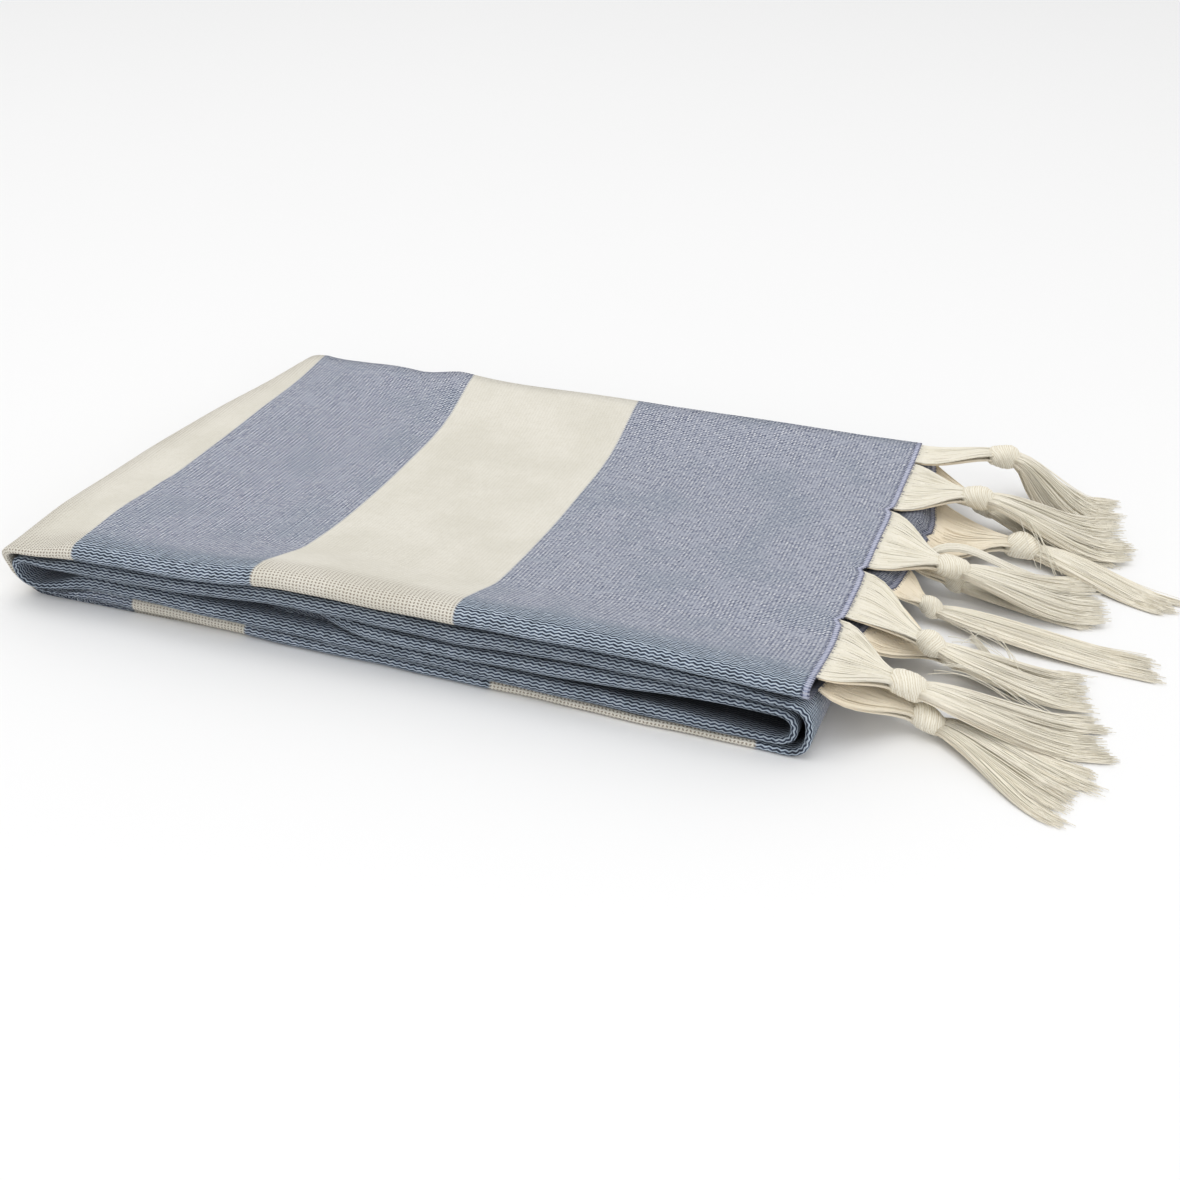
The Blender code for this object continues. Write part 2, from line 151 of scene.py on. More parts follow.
SECTION_COLUMNS = "x base second middle fourth top hollow_front hollow_centre hollow_back".split()
SECTIONS = np.array((
    (0, 4.4, 4.4, 0, 4.6, 5.6, 14, 16, 13),
    (34, 9.2, 9.2, 0, 8.8, 9.4, 1, 17, 8.2),
    (62, 9.6, 9.6, 0, 8.6, 9.6, 0.5, 12, 8.5),
    (106, 8.6, 8.8, 3, 8.8, 9.6, 0.3, 3.5, 5.4),
    (130, 8, 8.6, 6.4, 9, 9.6, 0, 0.3, 3.4),
    (228, 5.8, 8.8, 7.2, 9.2, 9.8, 0, 0, 3),
    (312, 4.2, 8, 7.5, 7.8, 8.4, 4, 3.6, 1.6),
    (345, 4, 6.2, 5.6, 6.6, 7.8, 8, 7, 1.2),
    (385, 4, 4.4, 4.4, 5, 6.6, 10.5, 8.5, 1.5),
))
LAYERS = {  # heading along X, front edge at the left and right, where the outer and inner ply end at the back
    "top": (-1, 0, 0, 256, 252),
    "base": (1, 13, 2, 255, 257),
    "fourth": (-1, 2.5, 0.5, 253, 250),
    "second": (1, 7, 1.5, 256, 253),
    "middle": (-1, 4, 1, 252, 255),
}
STACK = ("base", "second", "middle", "fourth", "top")
FOLDS = ((-1, 14, 0.25), (1, 10, 0), (-1, 9.6, 0.1), (1, 9.6, 0))  # side, reach, lean
print("sections:", len(SECTIONS), "layers:", len(LAYERS))

# %% [markdown]
# ## How high each layer lies
#
# The height of a layer at any point of the plan is the sum of the layers under it. Each layer's share has three
# parts: a puffed front, a flat centre and a slightly raised back. Keeping this as one function of x and y lets
# the sheet be sampled as finely as its weave and creases need.

# %% Heights


def ease(t):
    """0 to 1 with level ends: three t squared less two t cubed, for t kept between 0 and 1."""
    t = np.clip(t, 0.0, 1.0)
    return t * t * (3 - 2 * t)


def grows(x, start, end):
    """0 up to start, 1 from end on, and eased between them."""
    return ease((x - start) / (end - start))


def hump(y, height, at, width):
    """A rise of that height at y = at, which falls off on both sides as exp(-((y - at) / width) ** 2)."""
    return height * np.exp(-(((y - at) / width) ** 2))


def cubic(t, start, end, start_pull, end_pull):
    """The cubic that goes from start to end as t goes from 0 to 1, and leaves and arrives with the two pulls."""
    return (start * (1 + 2 * t) * (1 - t) ** 2 + end * t**2 * (3 - 2 * t)
            + start_pull * t * (1 - t) ** 2 - end_pull * t**2 * (1 - t))


def along(column, x):
    """A column of the sections at x: a cubic through the sections' values whose slope at each is the mean of
    the slopes beside it."""
    place, value = SECTIONS[:, 0], SECTIONS[:, SECTION_COLUMNS.index(column)]
    slope = np.gradient(value, place)
    i = np.clip(np.searchsorted(place, x, side="right") - 1, 0, len(place) - 2)
    span = place[i + 1] - place[i]
    t = np.clip((x - place[i]) / span, 0.0, 1.0)
    return np.maximum(cubic(t, value[i], value[i + 1], span * slope[i], span * slope[i + 1]), 0.0)


def layer_heights(name, x, y):
    """Underside and thickness of a layer. Front and back shares fall off as exp(-(distance / fall) ** shape),
    and the centre takes the rest. Near an end fold the thickness eases to that of the fold."""
    front = np.exp(-((np.maximum(y - FRONT_CREST, 0.0) / FRONT_FALL) ** FRONT_SHAPE))
    back = np.exp(-((np.maximum(PACK_DEPTH - y, 0.0) / BACK_FALL) ** BACK_SHAPE))
    centre = 1.0 - front - back
    underside = np.zeros(np.broadcast(x, y).shape)
    for level in STACK:
        there = grows(x, *INNER_RISE) if level == "middle" else 1.0
        pitch = front * along(level, x) + there * (centre * FLAT_PITCH + back * BACK_PITCH)
        if level == name:
            break
        underside = underside + pitch
        if level == "second":
            underside = underside + front * along("hollow_front", x)
            underside = underside + centre * along("hollow_centre", x) + back * along("hollow_back", x)
    to_left = math.inf if name == "middle" else x - LEFT_RUN
    to_right = math.inf if name == "top" else RIGHT_RUN - x
    opened = ease(np.minimum(to_left, to_right) / FOLD_EASE)
    return underside, FOLD_THICKNESS + opened * (pitch - LAYER_GAP - FOLD_THICKNESS)


def plan_x(x, y, skewed):
    """x moved with the slant of the left folds and, where skewed is 1, of the right folds."""
    back = np.clip(y / PACK_DEPTH, 0.0, 1.0)
    start, end = RIGHT_SKEW_GROWS
    left = LEFT_SKEW * np.clip(1.0 - x / LEFT_SKEW_FADES, 0.0, MOST_SKEW) * back**2
    right = RIGHT_SKEW * np.clip((x - start) / (end - start), 0.0, MOST_SKEW) * back
    return x + left + right * skewed


for name in STACK:
    low, thick = layer_heights(name, np.array([PACK_LENGTH / 2]), np.array([FRONT_CREST]))
    print(f"{name:7s} front edge lies {low[0]:5.1f} mm up and is {thick[0]:4.1f} mm thick")

# %% [markdown]
# ## One sheet, doubled twice
#
# Across a layer the cloth runs from one selvedge at the open back edge, round the outer of two folds at the
# front, to a soft fold at the back, round the inner front fold, and back to the other selvedge. That is four
# thicknesses of cloth. Each point of this line has a ply (+1 or -1), a place in its ply (outer +1, inner -1)
# and a distance from the front, and the layer's thickness turns those into a height.

# %% The line across a layer
SHEET = 0.5  # the cloth itself
SHEET_APART = 0.33  # each sheet's middle from its ply's middle
NOTCHES = (68, 119, 182)  # where two tassels pull the cloth's end apart
NOTCH_DEPTH = 2.6
NOTCH_WIDTH = 2.6
NOTCH_STARTS = 374
AT_BACK = -2  # stands in for the depth at the back edge of a ply
IN_BACK_FOLD = -1
BACK_BULGE = 0.9
WIDE_TURN = np.radians(np.linspace(90, -90, 9))
TIGHT_TURN = np.radians(np.linspace(-90, 90, 7))
SOFT_FOLD = np.array((0.7, 0, -0.7))
ROWS_BACK_TO_FRONT = np.unique(np.concatenate([
    np.linspace(248, 64, 15), np.linspace(52, 12, 9),
    *[place + np.array((-3.5, 0, 3.5)) for place in NOTCHES]]))[::-1]


def across_line():
    """The line across a layer as arrays of ply, place, depth (the distance from the front) and turn (the angle in
    a fold). On the flats turn is nan, and in a front fold it goes through 180 degrees."""
    flat = np.concatenate([[AT_BACK], ROWS_BACK_TO_FRONT])
    parts = (
        (1.0, 1.0, flat, np.nan),
        (np.sin(WIDE_TURN), 1.0, 0.0, WIDE_TURN),
        (-1.0, 1.0, flat[::-1], np.nan),
        (-1.0, SOFT_FOLD, IN_BACK_FOLD, np.nan),
        (-1.0, -1.0, flat, np.nan),
        (np.sin(TIGHT_TURN), -1.0, 0.0, TIGHT_TURN),
        (1.0, -1.0, flat[::-1], np.nan),
    )
    columns = zip(*[np.broadcast_arrays(*part) for part in parts])
    return dict(zip(("ply", "place", "depth", "turn"), [np.concatenate(column) for column in columns]))


ACROSS = across_line()
print("points across the doubled cloth:", len(ACROSS["ply"]))

# %% The lines of a layer and of an end fold
FRONT_WAVES = ((0.45, 31, 1), (0.35, 13, 2.3), (0.18, 5.7, 4.1))  # height, length, share of the phase
LAYER_PHASE = 1.7
FOLD_TURNS = 14


def front_edge(name, x):
    """y of a layer's front edge at x: a straight slant plus three sines, whose phase depends on the layer. The
    middle layer draws back towards its hidden end, so the hollow in front of it closes gradually."""
    _, front_left, front_right, _, _ = LAYERS[name]
    phase = LAYER_PHASE * STACK.index(name)
    wave = sum(height * np.sin(x / span + share * phase) for height, span, share in FRONT_WAVES)
    edge = front_left + (front_right - front_left) * x / PACK_LENGTH + wave
    if name == "middle":
        edge = edge + MIDDLE_DRAWN_BACK * (1 - grows(x, INNER_END, INNER_END + MIDDLE_CATCHES_UP))
    return edge


def layer_lines(name, stations, notch=NOTCH_DEPTH):
    """The line across a layer at each of its stations: points (stations, across, 3) and the offset of each
    from the layer's middle, which is half the free thickness times ply, plus the sheet's place in its ply."""
    heading, _, _, outer_back, inner_back = LAYERS[name]
    ply, place, depth, turn = (np.broadcast_to(c, (len(stations), len(c))) for c in ACROSS.values())
    x = np.asarray(stations)[:, None] + 0.0 * depth
    front = front_edge(name, x)
    _, thickness = layer_heights(name, x, front + NOSE_DEPTH)
    reach = NOSE_ROUND * (thickness - PLY)
    in_fold = ~np.isnan(turn)
    back = np.where(ply > 0, outer_back, inner_back)
    y = np.where(depth == AT_BACK, back, depth)
    y = np.where(depth == IN_BACK_FOLD, back + BACK_BULGE * np.sqrt(1 - place**2), y)
    curve = np.cos(np.where(in_fold, turn, 0.0))
    y = np.where(in_fold, front + reach * (1 - curve) - place * SHEET_APART * curve, y)
    flat_y = np.where(in_fold, front + reach, y)
    underside, thickness = layer_heights(name, x, flat_y)
    offset = ply * ((thickness - PLY) / 2 + place * SHEET_APART)
    z = underside + thickness / 2 - heading * offset
    moved = plan_x(x, y, name != "top")
    if name == "top":
        past = (1.0 - ply) / 2 * np.interp(y, *zip(*OVERHANG))
        moved = moved + past * grows(x, OVERHANG_GROWS, PACK_LENGTH)
        z = z - LOWER_DROOP * past * grows(x, RIGHT_RUN, PACK_LENGTH)
        pulled = sum(hump(y, notch, at, NOTCH_WIDTH) for at in NOTCHES)
        moved = moved - pulled * grows(x, NOTCH_STARTS, PACK_LENGTH)
    return np.stack([moved, y, z], axis=2), offset


def fold_lines(fold, start, end):
    """Lines round an end fold: each point goes half round a squared oval between its two plies' heights, with
    x = sin(turn) ** square times the reach and z = cos(turn) ** square times half the height."""
    side, reach, lean = fold
    (first, offset), (last, _) = start, end
    turn = np.linspace(0.0, math.pi, FOLD_TURNS + 2)[1:-1, None]
    mean, half = (first[:, 2] + last[:, 2]) / 2, (first[:, 2] - last[:, 2]) / 2
    share = ease(turn / math.pi)
    cosine = np.sign(np.cos(turn)) * np.abs(np.cos(turn)) ** FOLD_SQUARE
    out = (reach + offset) * np.sin(turn) ** FOLD_SQUARE * (1 + lean * np.cos(turn) * np.sign(half))
    x = first[:, 0] * (1 - share) + last[:, 0] * share + side * out
    y = first[:, 1] * (1 - share) + last[:, 1] * share
    return np.stack([x, y, mean + half * cosine], axis=2)


print("lines round each end fold:", FOLD_TURNS)

# %% [markdown]
# ## The run through five layers
#
# The cloth starts at its fringed end on top, runs left, turns under to the base, comes back right, and so winds
# inwards until its plain end lies in the middle of the pack. Measuring the arc length along each thread of this
# run gives every point of the cloth its place on the flat sheet, and the stripes are laid out in that place.

# %% The folded sheet's points
STATION_STEP = 6.6
INNER_RUN = 370  # where the two innermost layers turn
END_STATIONS = (370, 374, 378, 381, 383, 385)


def stations_of(name):
    """The stations of a layer about STATION_STEP apart, in the order in which the cloth runs along it."""
    start = INNER_END if name == "middle" else LEFT_RUN
    end = PACK_LENGTH if name == "top" else RIGHT_RUN if name in ("base", "fourth") else INNER_RUN
    places = np.linspace(start, end, int((end - start) / STATION_STEP) + 1)
    if name == "top":
        places = np.concatenate([places[places < END_STATIONS[0]], END_STATIONS])
    return places if LAYERS[name][0] > 0 else places[::-1]


def sheet_points(notch=NOTCH_DEPTH):
    """All lines of the sheet from its fringed end to its hidden end, as points (along, across, 3)."""
    runs = [layer_lines(name, stations_of(name), notch) for name in LAYERS]
    parts = [runs[0][0]]
    for fold, (points, offset), (next_points, next_offset) in zip(FOLDS, runs, runs[1:]):
        parts.append(fold_lines(fold, (points[-1], offset[-1]), (next_points[0], next_offset[0])))
        parts.append(next_points)
    return np.concatenate(parts)


print("stations:", {name: len(stations_of(name)) for name in LAYERS})

# %% Handling
WAVES = ((0.385, 37, 51, 0), (0.28, 19, -27, 1), (0.21, 60, 14, 2))  # height, lengths, phase
SLIDES = ((0.5, math.inf, 33, 0.7), (0.3, 90, 11, 0))
FRONT_ROLL = (1.8, 3, 17)  # height, place and width, here and below
ROLL_DIP = (-1.9, 50, 13)
LEFT_SHOULDER = (2.3, 44, 26)
SHOULDER_FADES = (45, 95)
STRIPE_RIDGE = (1.5, 79, 7)
RIDGE_ALONG = (1, 62, 40)
RIDGE_SLANT = 0.1
CORNER_CREASE = (0.9, 34, 5)
CREASE_GROWS = (290, 340)
CREASE_FADES = (368, 384)


def waves(table, x, y):
    """The sum over a table's rows of height * sin(x / length + y / length + phase)."""
    return sum(height * np.sin(x / x_length + y / y_length + phase) for height, x_length, y_length, phase in table)


def handled(points):
    """Small unevenness that the whole stack shares: waves of a point's plan place times its height, so that
    layers keep their distance. It adds the front edge's roll with the dip behind it, the soft ridge along the
    front of the first stripe, and a shallow crease near the front right corner."""
    x, y, z = points[..., 0], points[..., 1], points[..., 2]
    high = np.clip(z / STACK_HEIGHT, 0.0, 1.0)
    roll = hump(np.maximum(y, FRONT_ROLL[1]), *FRONT_ROLL) + hump(y, *ROLL_DIP)
    roll = roll + (hump(y, *LEFT_SHOULDER) - roll) * (1 - grows(x, *SHOULDER_FADES))
    ridge = hump(y - RIDGE_SLANT * (x - RIDGE_ALONG[1]), *STRIPE_RIDGE) * hump(x, *RIDGE_ALONG)
    crease = hump(y, *CORNER_CREASE) * grows(x, *CREASE_GROWS) * (1 - grows(x, *CREASE_FADES))
    lift = high**1.5 * (waves(WAVES, x, y) + roll + ridge - crease)
    return np.stack([x + high * waves(SLIDES, x, y), y, z + lift], axis=-1)


sheet = handled(sheet_points())
print("sheet grid:", sheet.shape[:2])

# %% Every point's place on the flat cloth


def travelled(points, axis):
    """How far each point of a grid lies from the grid's first one, measured along lines on that axis."""
    steps = np.diff(points, axis=axis, prepend=points.take([0], axis))
    return np.cumsum(np.linalg.norm(steps, axis=-1), axis=axis)


straight = sheet_points(notch=0.0)  # the notches pull the end alone, and leave the stripes straight
along_run = travelled(straight, 0)
across_run = travelled(sheet, 1)
front_middle = int(np.argmax((ACROSS["place"] == 1.0) & (ACROSS["turn"] == 0.0)))  # threads run straight there
u_metres = (across_run - across_run[:, [front_middle]] + across_run[:, front_middle].mean()) * MM
top_lines = len(stations_of("top"))
drift = along_run - along_run[:, [front_middle]]  # the end folds are longer outside than inside, but the cloth
drift[top_lines:] = drift[top_lines - 1]  # slides there, so weft threads stay square
v_metres = (along_run[:, [front_middle]] + drift) * MM
print("cut length", v_metres[-1].round(3).min(), "to", v_metres[-1].round(3).max(),
      "m, width", (across_run[:, -1].mean() * MM).round(3), "m")

# %% [markdown]
# ## Making meshes from arrays
#
# Every piece here is a surface worked out as an array of points. One helper turns points and faces into an
# object in the frame of the solids, with its values for each point stored as attributes that its finish reads.

# %% Mesh helpers


def new_piece(name, points, faces, values=None, uv=None):
    """An object from points (n, 3) in millimetres from the pack's corner and a list of arrays of faces, one row of
    indices for each face. values are named numbers for each point, and uv is an (n, 2) array."""
    mesh = bpy.data.meshes.new(name)
    corner_counts = np.concatenate([np.full(len(part), part.shape[1]) for part in faces])
    corners = np.concatenate([part.ravel() for part in faces]).astype(np.int32)
    mesh.vertices.add(len(points))
    metres = (points - np.array([PACK_LENGTH / 2, PACK_DEPTH / 2, 0.0])) * MM  # from the middle of the underside
    mesh.vertices.foreach_set("co", metres.astype(np.float32).ravel())
    mesh.loops.add(len(corners))
    mesh.loops.foreach_set("vertex_index", corners)
    mesh.polygons.add(len(corner_counts))
    starts = (np.cumsum(corner_counts) - corner_counts).astype(np.int32)
    mesh.polygons.foreach_set("loop_start", starts)
    mesh.update(calc_edges=True)
    mesh.validate()
    for value_name, numbers in (values or {}).items():
        layer = mesh.attributes.new(value_name, "FLOAT", "POINT")
        layer.data.foreach_set("value", np.asarray(numbers, np.float32).ravel())
    if uv is not None:
        mesh.uv_layers.new(name="Flat cloth").data.foreach_set("uv", uv[corners].astype(np.float32).ravel())
    mesh.shade_smooth()
    return added(name, mesh)


def grid_faces(rows, columns, wrap=False):
    """Quads between neighbouring rows and columns of a grid; wrap joins the last column to the first."""
    i = np.arange(rows - 1)[:, None]
    j = np.arange(columns if wrap else columns - 1)[None, :]
    a, b = i * columns + j, i * columns + (j + 1) % columns
    return np.stack([a, b, b + columns, a + columns], axis=-1).reshape(-1, 4)


print("3 by 3 points make", len(grid_faces(3, 3)), "faces")

# %% Weave and shade values
OPEN_FRONT = (6, 24)
OPEN_LEFT = (-4, 14)
OPEN_LEFT_SHARE = 0.8
# Painted shade inside the pack: where it starts from the covering layer's edge, where it fades at the back and at the
# right end, and its constant share on the three middle layers.
COVER_GROWS = (-0.6, 5.5)
BACK_FADES = (232, 250)
END_FADES = (384, 396)
END_FADE_SHARE = 0.5
LAYER_SHADE = {"fourth": 0.36, "middle": 0.27, "second": 0.25}


def opened_weave():
    """How far the weave is pulled open, 0 to 1: full round the front folds and nearly so round the left end folds,
    where the outer sheet is stretched, and fading within about 20 mm of them."""
    x, y = sheet[..., 0], sheet[..., 1]
    slanted = x - LEFT_SKEW * np.clip(y / PACK_DEPTH, 0, 1) ** 2
    return np.maximum(1 - grows(y, *OPEN_FRONT), OPEN_LEFT_SHARE * (1 - grows(slanted, *OPEN_LEFT)))


def covered_from(name):
    """y from which a layer's neighbour covers it, at each of its stations and points across."""
    x = np.asarray(stations_of(name))[:, None]
    level = STACK.index(name)
    above, below = STACK[min(level + 1, len(STACK) - 1)], STACK[max(level - 1, 0)]
    faces_up = LAYERS[name][0] * ACROSS["ply"][None, :] < 0
    return np.maximum(front_edge(name, x), np.where(faces_up, front_edge(above, x), front_edge(below, x)))


def painted_shade_in_pack():
    """How far inside the pack a point lies, 0 to 1, used as painted shade that darkens the cloth's colour: it grows
    over 6 mm from where the neighbouring layer covers it. It is 0 on the outermost thickness of the top layer, the
    base layer and their end folds. The three layers between them always get a little painted shade, for lying in
    their neighbours' shade."""
    runs = [covered_from(name) for name in LAYERS]
    parts, shade = [runs[0]], [np.zeros(len(runs[0]))]
    share = np.linspace(0, 1, FOLD_TURNS + 2)[1:-1, None]
    for name, last, start in zip(list(LAYERS)[1:], runs, runs[1:]):
        parts.extend((last[-1] * (1 - share) + start[0] * share, start))
        shade.append(np.full(FOLD_TURNS + len(start), LAYER_SHADE.get(name, 0.0)))
    covered, shade = np.concatenate(parts), np.concatenate(shade)
    x, y = sheet[..., 0], sheet[..., 1]
    deep = grows(y, covered + COVER_GROWS[0], covered + COVER_GROWS[1])
    deep = deep * (1 - grows(y, *BACK_FADES)) * (1 - END_FADE_SHARE * grows(x, *END_FADES))
    outer = (ACROSS["ply"] > 0) & (ACROSS["place"] > 0)
    outer_lines = top_lines + len(stations_of("base")) + 2 * FOLD_TURNS
    shown = (np.arange(len(sheet)) < outer_lines)[:, None] & outer[None, :]
    return np.where(shown, 0.0, np.maximum(deep, shade[:, None]))


cloth = new_piece("towel_cloth_sheet", sheet.reshape(-1, 3), [grid_faces(*sheet.shape[:2])],
                  {"opened": opened_weave(), "inside": painted_shade_in_pack()},
                  np.stack([u_metres, v_metres], axis=-1).reshape(-1, 2))
thickness = cloth.modifiers.new("Sheet thickness", "SOLIDIFY")
thickness.thickness = SHEET * MM
thickness.offset = 0.0
print("cloth quads:", len(cloth.data.polygons))

# %% [markdown]
# ## The tassels
#
# The warp threads that stand out of the cloth's end are gathered into bundles and tied with an overhand knot.
# Each bundle is made of single yarns. A yarn's place in its bundle is a rank across it and a depth in it, and
# one curve formula then gives every yarn its own path from the cloth to the knot, and from the knot to its cut
# end on the table.

# %% Measures of the tassels
KNOT_GRIP = 8.2
KNOT_HALF = 7
KNOT_DEPTH = 3
ROOT_INSET = 0.4
FAN_PULL = 0.8
FAN_DEPTH = 2.4
FEWEST_IN_FAN = 140
# Painted shade, 0 to 1: a tan tint for yarns in the shade of others, for each sheet of a fan and for the tails.
FAN_PAINTED_SHADE = {"upper": (0, 0.9), "lower": (0.7, 0.7)}  # of the outer and the inner sheet of yarns
TAIL_PULL = 0.7
TAIL_DEPTH = 2.5
TAIL_PER_FAN = 2.1
TAIL_COUNTS = (380, 670)
TAIL_PAINTED_SHADE = {"upper": 0.2, "lower": 0.3}
LOCK_DRAW = 0.14
LOCK_BEND = 0.1
OWN_BEND = 0.3
STRAY_SHARE = 0.06
STRAY_BEND = 3
CUT_WANDER = 2.6
CUT_SHORT = 2
PAST_KNOT = 60  # distance from the cloth that stands for every yarn beyond its knot
TAIL_LEVEL = 0.92
TAIL_FLARE = 0.8
TAIL_TURN = 0.5
ROOT_DROOP = {"upper": 0.1, "lower": 0.7}
YARN_RADIUS = 0.225
YARN_SIDES = 3
YARN_PITCH = 0.19
Tassel = namedtuple("Tassel", "ply root_back root_front knot_x knot_y knot_z tail_x tail_y rest spread size "
                              "clumps hang")
TASSELS = (
    ("upper", 254, 236, 427, 264, 27, 486, 272, 0, 32, 1.15, 6, 0.6),
    ("upper", 234, 184, 421, 214, 26, 492, 240, 2.2, 48, 1.1, 6, 0.15),
    ("upper", 181, 122, 420, 149, 20, 487, 171, 2.2, 42, 1.1, 5, 0.1),
    ("upper", 118, 72, 422, 79, 19, 490, 88, 2.2, 31, 0.95, 4, 0.1),
    ("upper", 69, 8, 419, 38, 22, 499, 57, 0, 33, 1.15, 5, 0.15),
    ("lower", 252, 226, 424, 232, 12, 487, 209, 0, 15, 0.85, 3, 0.1),
    ("lower", 222, 170, 447, 204, 7, 520, 180, 0, 18, 1.2, 4, 0.1),
    ("lower", 166, 148, 420, 160, 6, 484, 150, 0, 11, 0.8, 3, 0.1),
    ("lower", 144, 118, 414, 130, 8, 516, 120, 0, 20, 0.85, 4, 0.1),
    ("lower", 114, 64, 430, 90, 6, 480, 86, 0, 14, 0.8, 3, 0.1),
    ("lower", 58, 9, 429, 37, 7.5, 494, 12, 0, 44, 1.05, 6, 0.1),
)
tassels = {ply: [Tassel(*row) for row in TASSELS if row[0] == ply] for ply in ("upper", "lower")}
LOOSE_BUNDLES = (  # yarns, first and last width, wander, then control points
    (170, 4, 12, 0.25, (405, 156, 17), (412, 162, 26), (426, 163, 27), (434, 170, 16), (444, 181, 6), (472, 179, 1)),
    (26, 1.5, 7, 0.4, (436, 116, 3), (446, 106, 2), (452, 94, 1), (462, 78, 0.5)),
    (9, 4, 16, 6, (434, 104, 12), (444, 108, 13), (450, 88, 11), (462, 82, 2)),
    (7, 4, 9, 3.5, (434, 222, 20), (444, 220, 24), (452, 204, 20), (463, 190, 5)),
    (8, 3, 14, 4, (428, 60, 18), (444, 74, 15), (460, 64, 8), (476, 66, 1.5)),
)
LOOSE_LIFT = 2.2
print("tassels:", {ply: len(row) for ply, row in tassels.items()})

# %% The end of the cloth that the yarns leave
end_line = sheet[0]
PLY_SIGN = {"upper": 1, "lower": -1}


def on_end(ply, place, y):
    """Points at the given y on the cloth's end, along one of its four thicknesses."""
    chosen = (np.sign(ACROSS["ply"]) == PLY_SIGN[ply]) & (ACROSS["place"] == place) & np.isnan(ACROSS["turn"])
    line = end_line[chosen]
    line = line[np.argsort(line[:, 1])]
    return np.stack([np.interp(y, line[:, 1], line[:, k]) for k in range(3)], axis=-1)


def length(vectors):
    """Lengths of vectors, kept as a last axis of one."""
    return np.linalg.norm(vectors, axis=-1, keepdims=True)


def unit(vectors):
    """Vectors scaled to length 1."""
    return vectors / length(vectors)


def tassel_axes(tassel):
    """The knot's middle and its axes: along (towards the tail), across (level, to the front) and up."""
    knot = np.array([tassel.knot_x, tassel.knot_y, tassel.knot_z])
    root_y = (tassel.root_back + tassel.root_front) / 2
    come = knot - on_end(tassel.ply, 1.0, root_y)
    go = np.array([tassel.tail_x, tassel.tail_y, tassel.rest]) - knot
    heading = unit(unit(come) + unit(go) * TAIL_TURN)
    across = unit(np.cross(heading, (0.0, 0.0, 1.0)))
    return knot, heading, across, np.cross(across, heading)


print("cloth's end rises to", round(float(end_line[:, 2].max()), 1), "mm")

# %% [markdown]
# ## Yarns
#
# A yarn follows a cubic curve that leaves along one direction and arrives along another. The fan's yarns leave
# the cloth side by side and are squeezed together in the knot. The tail's yarns leave the knot, part into a few
# locks as cut cotton does, wander a little, and settle on the table, each cut at its own length.

# %% The fans
shuffle = np.random.default_rng(8)


def curves(steps, *ends):
    """Yarn paths (yarns, steps, 3) as cubics between ends and pulls that are each (yarns, 3)."""
    return cubic(np.linspace(0, 1, steps)[:, None], *(end[:, None, :] for end in ends))


def fan_yarns(tassel, steps=9):
    """Yarn paths from the cloth's end into the knot, and how much tan painted shade each yarn gets for lying in other
    yarns' shade. Two thicknesses of cloth give two sheets of yarns; rank runs from -0.5 at the front to 0.5 at the
    back."""
    knot, heading, across, up = tassel_axes(tassel)
    ply, size = tassel.ply, tassel.size
    width = tassel.root_back - tassel.root_front
    count = max(int(width / YARN_PITCH), FEWEST_IN_FAN)
    paths, warm = [], []
    for place, warmth in zip((1.0, -1.0), FAN_PAINTED_SHADE[ply]):
        warm.append(np.full(count, warmth))
        rank = np.linspace(-0.5, 0.5, count) + shuffle.normal(0, 0.006, count)
        root = on_end(ply, place, tassel.root_front + (rank + 0.5) * width) - (ROOT_INSET, 0.0, 0.0)
        inside = knot - (KNOT_HALF * size - KNOT_DEPTH) * heading
        gather = rank + 0.05 * np.sin(rank * 31.0 + tassel.knot_y)
        deep = np.sqrt(np.clip(1 - (1.6 * rank) ** 2, 0.05, 1)) * shuffle.uniform(0.5, 1.0, count)
        deep = deep * place * PLY_SIGN[ply]
        end = inside - across * (gather * KNOT_GRIP * size)[:, None] + up * (FAN_DEPTH * size * deep)[:, None]
        leave = np.array([1.0, 0.0, -ROOT_DROOP[ply]]) + np.zeros((count, 3))
        leave[:, 1] += shuffle.normal(0, 0.05, count)
        leave[:, 2] += shuffle.normal(0, 0.03, count)
        reach = length(end - root)
        paths.append(curves(steps, root, end, leave * reach, heading * reach * FAN_PULL))
    return np.concatenate(paths), np.concatenate(warm)


# %% The tails


